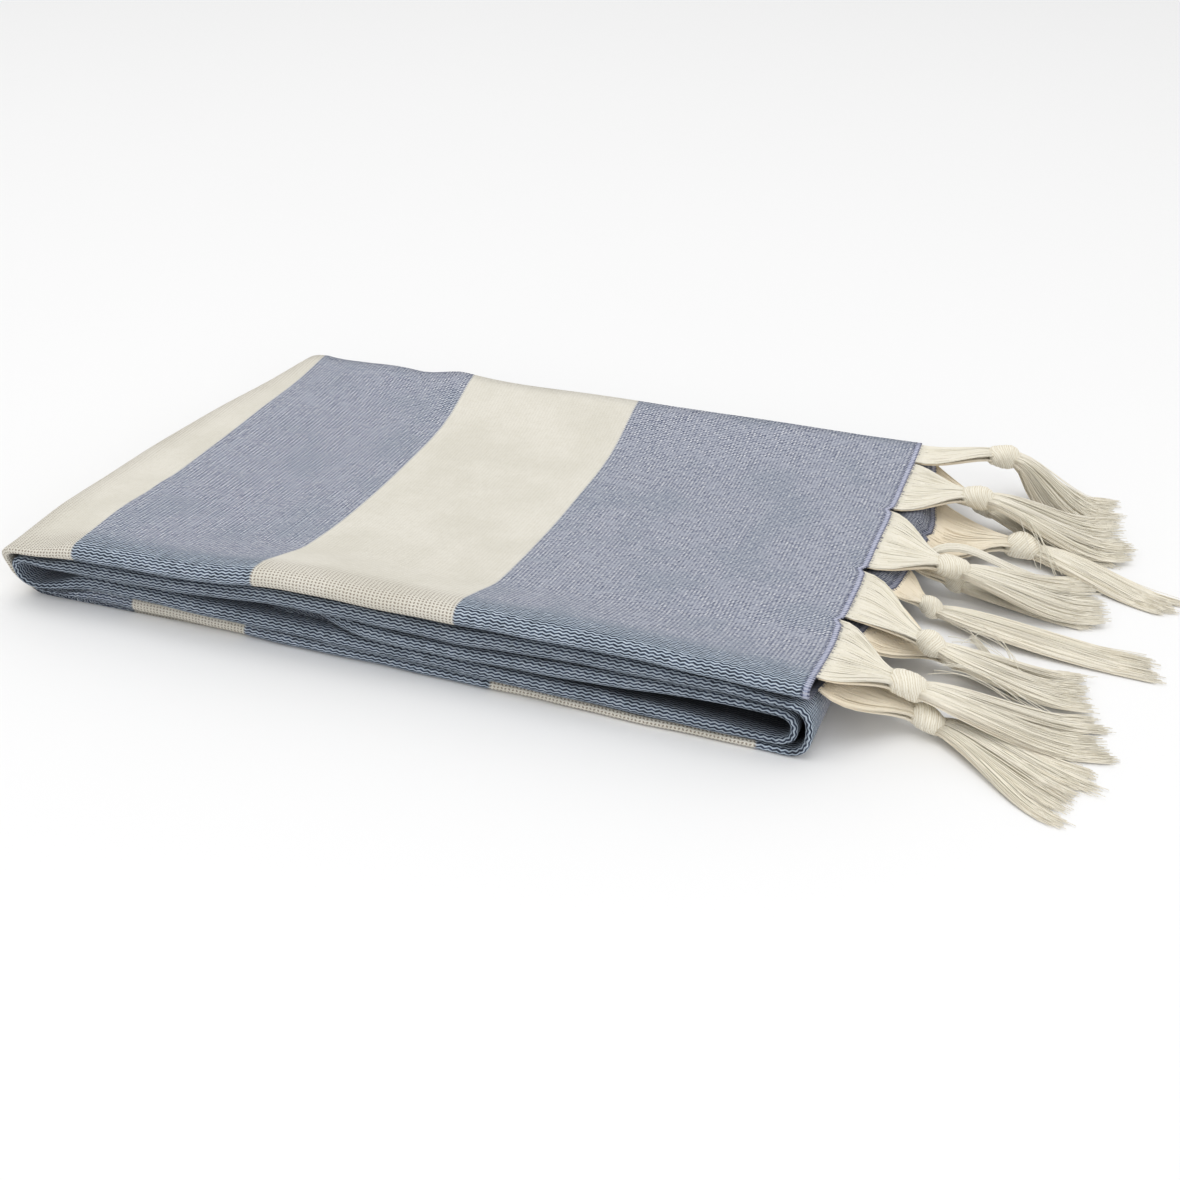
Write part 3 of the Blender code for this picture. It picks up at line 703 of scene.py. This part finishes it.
def tail_yarns(tassel, steps=11):
    """Yarn paths from the knot to their cut ends, and how much tan painted shade each yarn gets, more for yarns lower
    in the tail. The rank across the tail is drawn towards the middle of the nearest lock as the yarn runs out, and
    every lock bends its own way."""
    knot, heading, across, up = tassel_axes(tassel)
    size = tassel.size
    width = tassel.root_back - tassel.root_front
    count = int(np.clip(TAIL_PER_FAN * width / YARN_PITCH, *TAIL_COUNTS) * (0.6 + 0.4 * size))
    locks = tassel.clumps
    rank = shuffle.uniform(-0.5, 0.5, count)
    deep = shuffle.uniform(-1, 1, count) * np.sqrt(np.clip(1 - (1.7 * rank) ** 2, 0.15, 1))
    lock = np.clip(np.floor((rank + 0.5) * locks), 0, locks - 1)
    lock_rank = (lock + 0.5) / locks - 0.5
    out_rank = rank * (1 - LOCK_DRAW) + lock_rank * LOCK_DRAW + shuffle.normal(0, 0.02, count)
    rest = tassel.rest + YARN_RADIUS
    end_middle = np.array([tassel.tail_x, tassel.tail_y, rest])
    run = end_middle - knot
    run[2] = 0.0
    run = unit(run)
    aside = np.cross(run, (0.0, 0.0, 1.0))
    phase = shuffle.uniform(0, TURN, (locks, 4))[lock.astype(int)]
    cut = CUT_WANDER * np.sin(phase[:, 0]) - CUT_SHORT + shuffle.normal(0, CUT_WANDER, count)
    start = (knot + (KNOT_HALF * size - KNOT_DEPTH) * heading - across * (rank * KNOT_GRIP * size)[:, None]
             + up * (TAIL_DEPTH * size * deep)[:, None])
    end = end_middle - aside * (out_rank * tassel.spread)[:, None] + run * cut[:, None]
    leave = heading - across * (rank * TAIL_FLARE)[:, None] + up * (0.12 * deep)[:, None]
    reach = length(end - start)
    path = curves(steps, start, end, leave * reach * TAIL_PULL, run * reach * TAIL_PULL)
    t = np.linspace(0, 1, steps)
    stray = np.where(shuffle.uniform(0, 1, count) < STRAY_SHARE, STRAY_BEND, 1.0)[:, None]
    lock_bend = np.sin(t * 5.0 + phase[:, 1:2]) - np.sin(phase[:, 1:2])
    own_bend = shuffle.normal(0, 1, (count, 1)) * np.sin(t * 4.2 + shuffle.uniform(0, 6, (count, 1)))
    bend = ease(t * 1.3) * (LOCK_BEND * tassel.spread / locks * lock_bend + OWN_BEND * stray * own_bend)
    path = path - aside * bend[..., None]
    layer = (deep + 1) / 2 * (1.5 + 0.5 * size)
    level = TAIL_LEVEL - tassel.hang * (1 - deep) / 2
    settle = ease(t / level[:, None])
    low = rest + layer[:, None] * (1 - 0.6 * t) + 0.5 * (stray - 1) * np.sin(t * 5.0) ** 2
    path[..., 2] = start[:, 2:3] + (low - start[:, 2:3]) * settle
    path[..., 2] = np.maximum(path[..., 2], YARN_RADIUS)
    return path, (1 - deep) * TAIL_PAINTED_SHADE[tassel.ply]


# %% Tubes round the yarns


def tubes(paths, radii):
    """Tubes round paths (n, steps, 3) with radii (n, steps). Each ring is the path's point plus radius times
    the cosine of the angle across and its sine up, and the ends are closed. Returns points and faces."""
    count, steps, _ = paths.shape
    heading = unit(np.gradient(paths, axis=1))
    across = unit(np.cross(heading, (0.0, 0.0, 1.0)))
    up = np.cross(across, heading)
    angle = (np.arange(YARN_SIDES) * TURN / YARN_SIDES + math.pi / 2)[:, None]
    ring = (np.cos(angle) * across[:, :, None, :] + np.sin(angle) * up[:, :, None, :]) * radii[..., None, None]
    points = (paths[:, :, None, :] + ring).reshape(-1, 3)
    base = (np.arange(count) * steps * YARN_SIDES)[:, None]
    sides = (grid_faces(steps, YARN_SIDES, wrap=True) + base[..., None]).reshape(-1, 4)
    ends = np.arange(YARN_SIDES)[::-1], np.arange(YARN_SIDES) + (steps - 1) * YARN_SIDES
    return points, [sides, np.concatenate([base + end for end in ends])]


def bundle(paths, thinnest, thickest, taper=1.0, **values):
    """Tubes round a bundle's yarns as points, faces and values of each point. Every yarn has its own tone and its
    own thickness, a share of the usual one."""
    count, steps, _ = paths.shape
    points, faces = tubes(paths, YARN_RADIUS * shuffle.uniform(thinnest, thickest, (count, 1)) * taper)
    values = {"tone": shuffle.uniform(0, 1, (count, 1)), **values}
    return points, faces, {name: np.repeat(np.broadcast_to(value, (count, steps)), YARN_SIDES, axis=1).ravel()
                           for name, value in values.items()}


def joined(name, groups):
    """One piece from several (points, faces, values), with the faces' indices moved on."""
    points, faces, values = zip(*groups)
    starts = np.cumsum([0, *map(len, points[:-1])])
    faces = [np.concatenate([part + start for part, start in zip(kind, starts)]) for kind in zip(*faces)]
    values = {key: np.concatenate([own[key] for own in values]) for key in values[0]}
    return new_piece(name, np.concatenate(points), faces, values, values.pop("uv", None))


print("a yarn is", 2 * YARN_RADIUS, "mm thick")

# %% The fringe's yarns


def yarn_piece(ply, kind):
    """The fans or the tails of one ply's fringe as one piece, with each yarn's distance from the cloth and its tan
    painted shade, which fades along the yarn from its start."""
    groups = []
    for tassel in tassels[ply]:
        paths, warm = fan_yarns(tassel) if kind == "fan" else tail_yarns(tassel)
        share = np.linspace(0, 1, paths.shape[1])
        run, taper = travelled(paths, 1), np.ones(len(share))
        if kind == "tail":
            run, taper = run + PAST_KNOT, 1 - 0.3 * ease(2 * share - 1)
        groups.append(bundle(paths, 0.8, 1.15, taper, run=run, warm=warm[:, None] * (1 - 0.6 * share)))
    return joined(f"fringe_{ply}_{kind}s", groups)


def bezier(controls, t):
    """Points on Bezier curves: the sum of the controls (yarns, k, 3), each times its binomial share in t."""
    last = controls.shape[1] - 1
    shares = np.stack([math.comb(last, k) * t**k * (1 - t) ** (last - k) for k in range(last + 1)])
    return np.einsum("nkc,kt->ntc", controls, shares)


def loose_piece(steps=14):
    """Yarns that escaped the knots, as one piece. Each bundle follows its controls, and spreads from its first
    to its last width; wander moves every yarn's own controls, which makes curls."""
    t = np.linspace(0, 1, steps)
    groups = []
    for count, start_width, end_width, wander, *controls in LOOSE_BUNDLES:
        controls = np.array(controls)
        rank = shuffle.uniform(-0.5, 0.5, count)
        width = np.linspace(start_width, end_width, len(controls))
        run = unit(controls[-1] - controls[0])
        aside = unit(np.cross(run, (0.0, 0.0, 1.0)))
        own = controls[None] + aside * (rank[:, None] * width)[..., None]
        own = own + shuffle.normal(0, 1, own.shape) * wander * (1.0, 1.0, 0.35)
        own[:, -1] += run * shuffle.normal(0, 2.0, (count, 1))
        paths = bezier(own, t)
        lift = shuffle.uniform(0, LOOSE_LIFT, (count, 1)) * (1 - t)
        paths[..., 2] = np.maximum(paths[..., 2] + lift, YARN_RADIUS)
        groups.append(bundle(paths, 0.7, 1.0, run=PAST_KNOT + 40.0 * t))
    return joined("fringe_loose_yarns", groups)


yarns = {(ply, kind): yarn_piece(ply, kind) for ply in tassels for kind in ("fan", "tail")}
loose = loose_piece()
for piece in (*yarns.values(), loose):
    print(piece.name, len(piece.data.polygons), "faces")

# %% [markdown]
# ## The knots
#
# An overhand knot shows the bundle wound round itself. Its surface is one grid round the knot's axis: the
# radius swells in the middle, and turns of yarn stand out as slanted ridges, each ridge about as wide as a
# small group of yarns. Carrying single yarns round each knot would add little at this size.

# %% Knots
KNOT_WRAPS = 5
KNOT_RADIUS = 5.5
KNOT_RELIEF = 0.055
KNOT_BOW = 0.8


def knot_surface(tassel, rings=72, sides=54):
    """Points, faces and place values of a knot. Radius = barrel(s) * lump * (1 + relief * ridge): barrel rises
    from 0.5 to 1 and falls again as a flattened sine of s, lump is a slow wave round the knot, and ridge is a
    rounded wave of wraps * (s + slant) + angle, so that the turns join up."""
    knot, heading, across, up = tassel_axes(tassel)
    size = tassel.size
    s = np.linspace(0, 1, rings)[:, None]
    angle = np.linspace(0, TURN, sides, endpoint=False)[None, :]
    slant = 0.2 * np.sin(angle + tassel.knot_y) + 0.05 * np.sin(2 * angle + tassel.knot_x)
    phase = KNOT_WRAPS * (s + slant) + angle / TURN
    ridge = np.abs(np.sin(math.pi * phase)) ** 0.6 - 0.7
    barrel = 0.5 + 0.5 * np.sin(math.pi * s) ** 0.55
    lump = 1 + 0.10 * np.sin(angle + 3.0 * s + tassel.tail_y) + 0.08 * np.sin(2 * angle - 5 * s + tassel.tail_x)
    radius = size * KNOT_RADIUS * barrel * lump * (1 + KNOT_RELIEF * ridge)
    bow = KNOT_BOW * np.sin(math.pi * s)
    centre = knot + size * ((2 * s - 1) * KNOT_HALF)[..., None] * heading + (size * bow)[..., None] * up
    around = np.cos(angle)[..., None] * across + np.sin(angle)[..., None] * up
    points = centre + around * radius[..., None]
    caps = np.array([np.arange(sides)[::-1], np.arange(sides) + (rings - 1) * sides])
    uv = np.stack(np.broadcast_arrays(phase, angle / TURN), axis=-1)
    return points.reshape(-1, 3), [grid_faces(rings, sides, wrap=True), caps], {"uv": uv.reshape(-1, 2)}


knots = {ply: joined(f"fringe_{ply}_knots", [knot_surface(tassel) for tassel in row]) for ply, row in tassels.items()}
print("knots:", sum(len(piece.data.polygons) for piece in knots.values()), "faces")

# %% [markdown]
# ## A small language for finishes
#
# A finish is a graph of shader nodes. Writing it as arithmetic keeps it readable, so a small class stands for
# the output of a node: sums, products and comparisons of it add Math nodes, and one method adds any other node.

# %% Shader arithmetic


class Wire:
    """The output of a node in a finish. Arithmetic on it adds Math nodes to the same finish."""

    def __init__(self, finish, socket):
        self.finish, self.socket = finish, socket

    def calc(self, operation, *others):
        """A Math node of this and the others."""
        return self.finish.node("ShaderNodeMath", {"operation": operation}, dict(enumerate((self, *others))))

    __add__ = __radd__ = partialmethod(calc, "ADD")
    __sub__ = partialmethod(calc, "SUBTRACT")
    __mul__ = __rmul__ = partialmethod(calc, "MULTIPLY")
    __truediv__ = partialmethod(calc, "DIVIDE")
    __pow__ = partialmethod(calc, "POWER")
    floor = partialmethod(calc, "FLOOR")
    fract = partialmethod(calc, "FRACT")
    abs = partialmethod(calc, "ABSOLUTE")
    sin = partialmethod(calc, "SINE")
    above = partialmethod(calc, "GREATER_THAN")  # 1 where this is above an edge

    def __rsub__(self, other):
        return self * -1.0 + other

    def rises(self, low, high):
        """0 at low, 1 at high, and smooth between them. With low over high it falls instead."""
        swap = low > high
        first, second = (high, low) if swap else (low, high)
        mapped = self.finish.node("ShaderNodeMapRange", {"interpolation_type": "SMOOTHSTEP"},
                                  {"Value": self, "From Min": first, "From Max": second})
        return 1.0 - mapped if swap else mapped


# %% A finish


class Finish:
    """A material with a Principled shader, and one method that adds any node."""

    def __init__(self, name, roughness):
        self.material = bpy.data.materials.new(name)
        self.material.use_nodes = True
        self.tree = self.material.node_tree
        self.shader = self.tree.nodes["Principled BSDF"]
        self.shader.inputs["Roughness"].default_value = roughness

    def node(self, kind, settings=None, inputs=None, output=0):
        """Adds a node: its settings first, then its inputs as wires or numbers. Returns one output as a Wire."""
        made = self.tree.nodes.new(kind)
        for name, value in (settings or {}).items():
            setattr(made, name, value)
        for name, value in (inputs or {}).items():
            self.join(made.inputs[name], value)
        return Wire(self, made.outputs[output])

    def join(self, socket, value):
        """Links a wire to a socket, or sets the socket's own value."""
        if isinstance(value, Wire):
            self.tree.links.new(value.socket, socket)
        else:
            socket.default_value = value

    def noise(self, scale, detail=2.0, place=None):
        """Soft noise over a flat place, or else through the object's own space."""
        where = self.node("ShaderNodeTexCoord", output="Object") if place is None else place
        return self.node("ShaderNodeTexNoise", {"noise_dimensions": "3D" if place is None else "2D"},
                         {"Vector": where, "Scale": scale, "Detail": detail})

    def mix(self, share, first, second):
        """A colour between two colours."""
        return self.node("ShaderNodeMix", {"data_type": "RGBA"}, {0: share, 6: first, 7: second}, output=2)

    def flat_place(self):
        """The point's stored place, whole and as its two numbers: across and along the flat cloth in metres, or
        on a knot the turns wound and the share of the way round."""
        place = self.node("ShaderNodeUVMap", {"uv_map": "Flat cloth"})
        first = self.node("ShaderNodeSeparateXYZ", None, {"Vector": place})
        return place, first, Wire(self, first.socket.node.outputs[1])

    def value(self, name):
        """A number stored at each point of the mesh."""
        return self.node("ShaderNodeAttribute", {"attribute_name": name}, output="Fac")

    def paint(self, value):
        """Joins a colour to the shader's base colour."""
        self.join(self.shader.inputs["Base Color"], value)

    def soften(self, weight):
        """A sheen of fine loose fibres, which brightens the surface where it turns away."""
        for name, value in (("Weight", weight), ("Roughness", 0.45), ("Tint", colour(255, 246, 226))):
            self.shader.inputs["Sheen " + name].default_value = value

    def bump(self, height, distance, strength):
        """Makes height, 0 to 1, stand out by distance in metres."""
        normal = self.node("ShaderNodeBump", None, {"Height": height, "Distance": distance, "Strength": strength})
        self.join(self.shader.inputs["Normal"], normal)


def colour(red, green, blue):
    """A display colour, 0 to 255, as the linear colour that a shader takes."""
    shares = np.array([red, green, blue]) / 255.0
    linear = np.where(shares <= 0.04045, shares / 12.92, ((shares + 0.055) / 1.055) ** 2.4)
    return (*linear.tolist(), 1.0)


print("a mid grey is", np.round(colour(128, 128, 128), 3))

# %% [markdown]
# ## The woven cloth
#
# The towel is a plain weave of pale warp and blue weft, 1.4 mm and 1.75 mm from thread to thread. Where the cloth
# lies flat the threads close up and it looks greyish lavender with fine lines along the weft. Round the folds it
# is pulled open, and each blue thread shows as a dark dash between pale zigzag threads. Stripes of cream weft
# cross the blue, and a pale band with dark thread ends finishes the edge before the fringe.
# Inside the pack and on the three middle layers, shade is painted into the colour as a darkening.

# %% Stripes and weave
WARP_PITCH = 1.4  # mm from warp thread to warp thread, across the cloth
WEFT_PITCH = 1.75  # mm from weft thread to weft thread, along it
HEADER = 2.6  # width of the pale band at the fringed end
CREAM_STRIPES = ((157, 255), (349.5, 418), (473.5, 534.5), (658.5, 780))  # mm from the fringed end
STRIPE_EDGE = 0.9
ZIGZAG = 0.42  # how far a warp thread swings to each side, in pitches
TICK_PITCH = 1.2 * WARP_PITCH  # of the dark thread ends in the header
FLECK = colour(242, 244, 248)
FLAT_LINE, FLAT_DASH = colour(86, 95, 124), colour(46, 56, 88)
OPEN_DASHES = colour(14, 24, 42), colour(34, 46, 72)
CREAM_LINE, PINHOLE = colour(204, 198, 180), colour(132, 118, 104)
HEADER_EDGE, DEEP_SHADE = colour(44, 50, 84), colour(9, 14, 22)


def cloth_finish():
    """The finish of the sheet, from its place on the flat cloth, how far its weave is open and how much shade is
    painted into it.
    """
    finish = Finish("Woven cotton", 0.92)
    mix = finish.mix
    place, across_cloth, along_cloth = finish.flat_place()
    across_mm, along_mm = across_cloth * 1000.0, along_cloth * 1000.0
    opened = finish.value("opened")
    soft = finish.noise(28.0, 3.0, place)
    fine = finish.noise(420.0, 2.0, place)
    wave = along_mm / (2 * WEFT_PITCH) + (fine - 0.5) * 0.12
    zigzag = (wave.fract() - 0.5).abs() * 2.0 - 0.5
    row = across_mm / WARP_PITCH + zigzag * ZIGZAG + (soft - 0.5) * 0.5
    row_number = row.floor()
    row_place = row.fract() - 0.5
    brick = ((wave + row_number * 0.5) * TURN).sin()
    cell = finish.node("ShaderNodeCombineXYZ", None, {"X": row_number, "Y": wave.floor()})
    chance = finish.node("ShaderNodeTexWhiteNoise", {"noise_dimensions": "2D"}, {"Vector": cell})
    dash = (row_place.abs() + 0.05 * brick + 0.06 * chance).rises(0.38, 0.22)

    pick = along_mm / WEFT_PITCH + (fine - 0.5) * 0.25
    pick_line = ((pick * TURN).sin() * 0.5 + 0.5) ** 1.3
    pick_tone = finish.node("ShaderNodeTexWhiteNoise", {"noise_dimensions": "1D"}, {"W": pick.floor()})
    fleck = (fine * (0.55 + 0.9 * chance)).rises(0.45, 0.75)
    pinhole = (((pick.fract() - 0.5) * 3.0) ** 2.0 + (row_place * 3.2) ** 2.0).rises(1.1, 0.4)

    stripes = None
    for start, end in CREAM_STRIPES:
        stripe = along_mm.rises(start - STRIPE_EDGE, start + STRIPE_EDGE)
        stripe = stripe * along_mm.rises(end + STRIPE_EDGE, end - STRIPE_EDGE)
        stripes = stripe if stripes is None else stripes + stripe

    worn = opened + (1.0 - opened) * soft.rises(0.45, 0.7) * 0.3
    pale = mix(pick_tone, colour(190, 194, 204), colour(195, 198, 208))
    pale = mix(fleck, pale, FLECK)
    flat_blue = mix(pick_line * (0.3 + 0.5 * chance), pale, FLAT_LINE)
    flat_blue = mix(dash * (0.4 + 0.6 * chance), flat_blue, FLAT_DASH)
    open_pale = mix(fleck * 0.5, colour(176, 190, 204), colour(204, 215, 225))
    open_blue = mix(dash * 0.97, open_pale, mix(chance, *OPEN_DASHES))
    blue = mix(worn, flat_blue, open_blue)

    cream = mix(soft.rises(0.3, 0.7), colour(218, 214, 202), colour(226, 222, 211))
    cream = mix(pick_line * 0.16 + fleck * 0.12, cream, CREAM_LINE)
    cream = mix(pinhole * (0.08 + 0.8 * opened), cream, PINHOLE)
    woven = mix(stripes, blue, cream)

    tick = (across_mm / TICK_PITCH + (fine - 0.5) * 0.8).fract().rises(0.5, 0.6)
    inner_edge = along_mm.rises(HEADER - 0.4, HEADER) * along_mm.rises(HEADER + 1.4, HEADER + 0.8)
    edge_rows = along_mm.rises(1.0, 0.6) + inner_edge
    band = along_mm.rises(HEADER + 0.4, HEADER - 0.2)
    header = mix(fleck * 0.3 + tick * 0.7, colour(200, 202, 218), colour(132, 138, 170))
    woven = mix(band * 0.75, woven, header)
    woven = mix(edge_rows * (0.2 + 0.8 * tick) * 0.75, woven, HEADER_EDGE)
    # Painted shade: the cloth's colour darkens towards DEEP_SHADE inside the pack and on the three middle layers.
    finish.paint(mix(finish.value("inside") * 0.9, woven, DEEP_SHADE))

    relief = (1.0 - dash) * (0.35 + 0.65 * opened) + pick_line * 0.35 * (1.0 - opened) + fleck * 0.2
    finish.bump(relief, 0.00035, 0.8)
    return finish.material


cloth.data.materials.append(cloth_finish())
print("stripes:", len(CREAM_STRIPES))

# %% [markdown]
# ## Cotton yarn
#
# The fringe is undyed cotton, soft and matt. Where other yarns shade it, painted shade tints it a little warmer and
# tan. Each yarn has its own tone, and a yarn that comes from between blue weft threads keeps a dark mark where it
# leaves the cloth.

# %% Yarn finishes
YARN_LINES = 2.7  # lines of single yarns in one turn of a knot
ROOT_BLUE = colour(70, 76, 110)


def yarn_finish():
    """Cream cotton with a tone of its own for each yarn, a tan painted shade where other yarns shade it, and a dark
    mark at the root of some yarns.
    """
    finish = Finish("Cotton yarn", 0.88)
    tone = finish.value("tone")
    grain = finish.noise(900.0)
    cream = finish.mix(tone, colour(235, 230, 213), colour(244, 239, 226))
    cream = finish.mix(grain.rises(0.4, 0.75) * 0.15, cream, colour(232, 220, 194))
    # Painted shade: yarns that lie in other yarns' shade are tinted tan.
    cream = finish.mix(finish.value("warm"), cream, colour(245, 228, 198))
    rooted = finish.value("run").rises(1.9, 1.0) * (tone * 7.3).fract().above(0.7)
    finish.paint(finish.mix(rooted * 0.8, cream, ROOT_BLUE))
    finish.bump(grain, 0.0001, 0.5)
    finish.soften(0.35)
    return finish.material


def knot_finish():
    """The same cotton on the knots, with narrow lines of painted shade between single yarns along each turn, and
    deeper painted shade in the grooves between turns.
    """
    finish = Finish("Knotted yarn", 0.88)
    _, turns, _ = finish.flat_place()
    grain = finish.noise(700.0)
    line = ((turns * (TURN * YARN_LINES) + grain * 4.5).sin() * 0.5 + 0.5) ** 3.0
    painted_groove_shade = (turns.fract() - 0.5).abs().rises(0.38, 0.5)
    # Painted shade: tan lines between single yarns, and a deeper tan in the grooves between turns.
    cream = finish.mix(line * (0.1 + grain), colour(238, 233, 218), colour(200, 187, 157))
    finish.paint(finish.mix(painted_groove_shade * 0.3, cream, colour(192, 174, 142)))
    finish.bump(line * -0.4 + grain * 0.3, 0.0003, 0.6)
    finish.soften(0.35)
    return finish.material


yarn_material, knot_material = yarn_finish(), knot_finish()
for piece in (*yarns.values(), loose):
    piece.data.materials.append(yarn_material)
for piece in knots.values():
    piece.data.materials.append(knot_material)
print("finishes:", cloth.data.materials[0].name, "/", yarn_material.name, "/", knot_material.name)

# %% [markdown]
# ## The table
#
# The towel lies on a plain pale surface, much larger than the view, so that its edge never shows. It is not part of
# the object.

# %% Floor
FLOOR_SIZE = 40.0
FLOOR_TONE = 0.88
FLOOR_DROP = 0.4
corners = np.array([(-1, -1), (1, -1), (1, 1), (-1, 1)]) * FLOOR_SIZE / 2 / MM + (PACK_LENGTH / 2, PACK_DEPTH / 2)
floor = new_piece("Studio floor", np.column_stack([corners, np.full(4, -FLOOR_DROP)]), [np.array([[0, 1, 2, 3]])])
floor_finish = Finish("Studio floor", 0.95)
floor_tones = [(FLOOR_TONE * share,) * 3 + (1.0,) for share in (1.0, 1.01)]
floor_finish.paint(floor_finish.mix(floor_finish.noise(3.0), *floor_tones))
floor.data.materials.append(floor_finish.material)
print("floor:", FLOOR_SIZE, "m wide")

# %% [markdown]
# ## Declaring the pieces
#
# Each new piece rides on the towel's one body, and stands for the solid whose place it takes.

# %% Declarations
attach(cloth, "root")
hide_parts("towel_cloth")
fringe = [(ply, piece) for (ply, _), piece in yarns.items()] + list(knots.items()) + [("lower", loose)]
for ply, piece in fringe:
    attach(piece, "root")
    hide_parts("fringe_" + ply)
